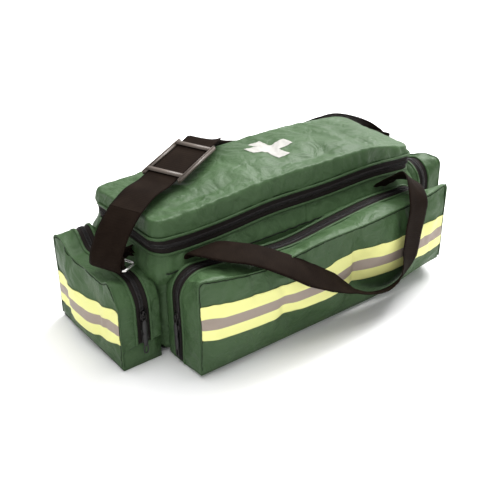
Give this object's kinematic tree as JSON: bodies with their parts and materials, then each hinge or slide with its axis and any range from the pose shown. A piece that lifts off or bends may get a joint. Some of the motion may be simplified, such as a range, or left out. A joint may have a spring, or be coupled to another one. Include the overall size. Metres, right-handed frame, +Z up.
{
  "type": "trauma bag",
  "caption": "Long soft green trauma bag with a zipped padded lid, zipped pockets on the front and ends, reflective tape, carry handles and an adjustable shoulder strap.",
  "frame": {"origin": "centre of the main compartment's base panel, on its underside", "axes": "+X along the bag's length, -Y towards the front pocket, +Z up"},
  "size_m": [0.5944, 0.336, 0.2344],
  "materials": {
    "bag_nylon": "semi-gloss coated nylon, plain weave",
    "inner_lining": "matt black lining cloth over foam",
    "webbing": "ribbed polypropylene webbing",
    "zip_tape": "woven tape with a nylon coil",
    "reflective_tape": "fluorescent yellow tape with a silver stripe",
    "emblem_white": "white transfer film",
    "ring_metal": "dark plated steel",
    "adjuster_plastic": "moulded acetal",
    "slider_metal": "black enamelled zinc",
    "pull_rubber": "moulded sleeve over cord"
  },
  "bodies": {
    "root": {"base_board": "inner_lining", "base_panel": "bag_nylon", "front_pocket_floor": "bag_nylon", "front_pocket_inner_gusset": "bag_nylon", "front_wall": "bag_nylon", "front_zip_fixed": "zip_tape", "left_pocket_floor": "bag_nylon", "left_pocket_inner_gusset": "bag_nylon", "left_ring_tab": "webbing", "left_wall": "bag_nylon", "left_zip_fixed": "zip_tape", "main_zip_lower": "zip_tape", "rear_wall": "bag_nylon", "right_pocket_floor": "bag_nylon", "right_pocket_inner_gusset": "bag_nylon", "right_ring_tab": "webbing", "right_wall": "bag_nylon", "right_zip_fixed": "zip_tape", "shoulder_strap_left": "webbing", "shoulder_strap_rear": "webbing"},
    "lid": {"lid_top_panel": "bag_nylon", "lid_gusset": "bag_nylon", "main_zip_upper": "zip_tape", "lid_emblem": "emblem_white", "shoulder_strap_over_lid": "webbing"},
    "front_flap": {"front_pocket_face": "bag_nylon", "front_pocket_outer_gusset": "bag_nylon", "front_zip_moving": "zip_tape", "front_reflective_tape": "reflective_tape"},
    "left_flap": {"left_pocket_face": "bag_nylon", "left_pocket_outer_gusset": "bag_nylon", "left_zip_moving": "zip_tape", "left_reflective_tape": "reflective_tape"},
    "right_flap": {"right_pocket_face": "bag_nylon", "right_pocket_outer_gusset": "bag_nylon", "right_zip_moving": "zip_tape", "right_reflective_tape": "reflective_tape"},
    "front_carry_handle": {"front_handle": "webbing"},
    "rear_carry_handle": {"rear_handle": "webbing"},
    "left_ring": {"left_d_ring": "ring_metal"},
    "right_ring": {"right_d_ring": "ring_metal"},
    "adjuster": {"strap_adjuster": "adjuster_plastic"},
    "left_divider": {"divider_left": "inner_lining"},
    "right_divider": {"divider_right": "inner_lining"},
    "front_zip_runner_upper": {"front_zip_slider_upper": "slider_metal"},
    "front_zip_tab_upper": {"front_zip_pull_upper": "pull_rubber"},
    "front_zip_runner_lower": {"front_zip_slider_lower": "slider_metal"},
    "front_zip_tab_lower": {"front_zip_pull_lower": "pull_rubber"},
    "left_zip_runner_upper": {"left_zip_slider_upper": "slider_metal"},
    "left_zip_tab_upper": {"left_zip_pull_upper": "pull_rubber"},
    "left_zip_runner_lower": {"left_zip_slider_lower": "slider_metal"},
    "left_zip_tab_lower": {"left_zip_pull_lower": "pull_rubber"},
    "right_zip_runner_upper": {"right_zip_slider_upper": "slider_metal"},
    "right_zip_tab_upper": {"right_zip_pull_upper": "pull_rubber"},
    "right_zip_runner_lower": {"right_zip_slider_lower": "slider_metal"},
    "right_zip_tab_lower": {"right_zip_pull_lower": "pull_rubber"},
    "main_zip_runner_rear": {"main_zip_slider_rear": "slider_metal"},
    "main_zip_tab_rear": {"main_zip_pull_rear": "pull_rubber"},
    "main_zip_runner_front": {"main_zip_slider_front": "slider_metal"},
    "main_zip_tab_front": {"main_zip_pull_front": "pull_rubber"}
  },
  "joints": [
    {"name": "lid_open", "type": "hinge", "parent": "root", "child": "lid", "pos_m": [0, 0.086, 0.162], "axis": [-1, 0, 0], "range_deg": [0, 110], "deforming": ["shoulder_strap_left", "shoulder_strap_over_lid", "shoulder_strap_rear", "rear_handle"]},
    {"name": "front_flap_open", "type": "hinge", "parent": "root", "child": "front_flap", "pos_m": [0, -0.161, 0.00315], "axis": [1, 0, 0], "range_deg": [0, 82], "deforming": ["front_handle"]},
    {"name": "left_flap_open", "type": "hinge", "parent": "root", "child": "left_flap", "pos_m": [-0.295, 0, 0.00315], "axis": [0, -1, 0], "range_deg": [0, 82]},
    {"name": "right_flap_open", "type": "hinge", "parent": "root", "child": "right_flap", "pos_m": [0.295, 0, 0.00315], "axis": [0, 1, 0], "range_deg": [0, 82]},
    {"name": "front_handle_lift", "type": "hinge", "parent": "root", "child": "front_carry_handle", "pos_m": [0, -0.1, 0.16], "axis": [-1, 0, 0], "range_deg": [0, 95], "deforming": ["front_handle"]},
    {"name": "rear_handle_lift", "type": "hinge", "parent": "root", "child": "rear_carry_handle", "pos_m": [0, 0.1, 0.14], "axis": [1, 0, 0], "range_deg": [0, 110], "deforming": ["rear_handle", "shoulder_strap_rear"]},
    {"name": "left_ring_lift", "type": "hinge", "parent": "root", "child": "left_ring", "pos_m": [-0.26304, -0.03712, 0.1395], "axis": [-0.4067, 0.9136, 0], "range_deg": [0, 60], "deforming": ["left_ring_tab", "shoulder_strap_left"]},
    {"name": "right_ring_lift", "type": "hinge", "parent": "root", "child": "right_ring", "pos_m": [0.26304, 0.03712, 0.1395], "axis": [0.4067, -0.9136, 0], "range_deg": [0, 60], "deforming": ["right_ring_tab", "shoulder_strap_rear"]},
    {"name": "adjuster_slide", "type": "slide", "parent": "lid", "child": "adjuster", "axis": [0.9082, 0.3892, 0.1541], "range_m": [-0.015, 0.015], "deforming": ["shoulder_strap_over_lid"]},
    {"name": "left_divider_slide", "type": "slide", "parent": "root", "child": "left_divider", "axis": [1, 0, 0], "range_m": [-0.03, 0.03]},
    {"name": "right_divider_slide", "type": "slide", "parent": "root", "child": "right_divider", "axis": [1, 0, 0], "range_m": [-0.03, 0.03]},
    {"name": "front_zip_upper_slide", "type": "slide", "parent": "root", "child": "front_zip_runner_upper", "axis": [0, 0, 1], "range_m": [0, 0.03]},
    {"name": "front_zip_upper_pull", "type": "hinge", "parent": "front_zip_runner_upper", "child": "front_zip_tab_upper", "pos_m": [-0.2272, -0.111, 0.072], "axis": [0, 1, 0], "range_deg": [0, 90]},
    {"name": "front_zip_lower_slide", "type": "slide", "parent": "root", "child": "front_zip_runner_lower", "axis": [0, 0, 1], "range_m": [-0.008, 0]},
    {"name": "front_zip_lower_pull", "type": "hinge", "parent": "front_zip_runner_lower", "child": "front_zip_tab_lower", "pos_m": [-0.2272, -0.111, 0.054], "axis": [0, 1, 0], "range_deg": [0, 90]},
    {"name": "left_zip_upper_slide", "type": "slide", "parent": "root", "child": "left_zip_runner_upper", "axis": [0, 0, 1], "range_m": [0, 0.014]},
    {"name": "left_zip_upper_pull", "type": "hinge", "parent": "left_zip_runner_upper", "child": "left_zip_tab_upper", "pos_m": [-0.261, -0.0902, 0.08], "axis": [-1, 0, 0], "range_deg": [0, 90]},
    {"name": "left_zip_lower_slide", "type": "slide", "parent": "root", "child": "left_zip_runner_lower", "axis": [0, 0, 1], "range_m": [-0.012, 0]},
    {"name": "left_zip_lower_pull", "type": "hinge", "parent": "left_zip_runner_lower", "child": "left_zip_tab_lower", "pos_m": [-0.261, -0.0902, 0.062], "axis": [-1, 0, 0], "range_deg": [0, 90]},
    {"name": "right_zip_upper_slide", "type": "slide", "parent": "root", "child": "right_zip_runner_upper", "axis": [0, 0, 1], "range_m": [0, 0.014]},
    {"name": "right_zip_upper_pull", "type": "hinge", "parent": "right_zip_runner_upper", "child": "right_zip_tab_upper", "pos_m": [0.261, -0.0902, 0.08], "axis": [-1, 0, 0], "range_deg": [0, 90]},
    {"name": "right_zip_lower_slide", "type": "slide", "parent": "root", "child": "right_zip_runner_lower", "axis": [0, 0, 1], "range_m": [-0.012, 0]},
    {"name": "right_zip_lower_pull", "type": "hinge", "parent": "right_zip_runner_lower", "child": "right_zip_tab_lower", "pos_m": [0.261, -0.0902, 0.062], "axis": [-1, 0, 0], "range_deg": [0, 90]},
    {"name": "main_zip_rear_slide", "type": "slide", "parent": "root", "child": "main_zip_runner_rear", "axis": [0, 1, 0], "range_m": [0, 0.04]},
    {"name": "main_zip_rear_pull", "type": "hinge", "parent": "main_zip_runner_rear", "child": "main_zip_tab_rear", "pos_m": [0.2392, -0.038, 0.162], "axis": [0, -1, 0], "range_deg": [0, 42]},
    {"name": "main_zip_front_slide", "type": "slide", "parent": "root", "child": "main_zip_runner_front", "axis": [0, 1, 0], "range_m": [-0.02, 0]},
    {"name": "main_zip_front_pull", "type": "hinge", "parent": "main_zip_runner_front", "child": "main_zip_tab_front", "pos_m": [0.2392, -0.058, 0.162], "axis": [0, -1, 0], "range_deg": [0, 42]}
  ]
}
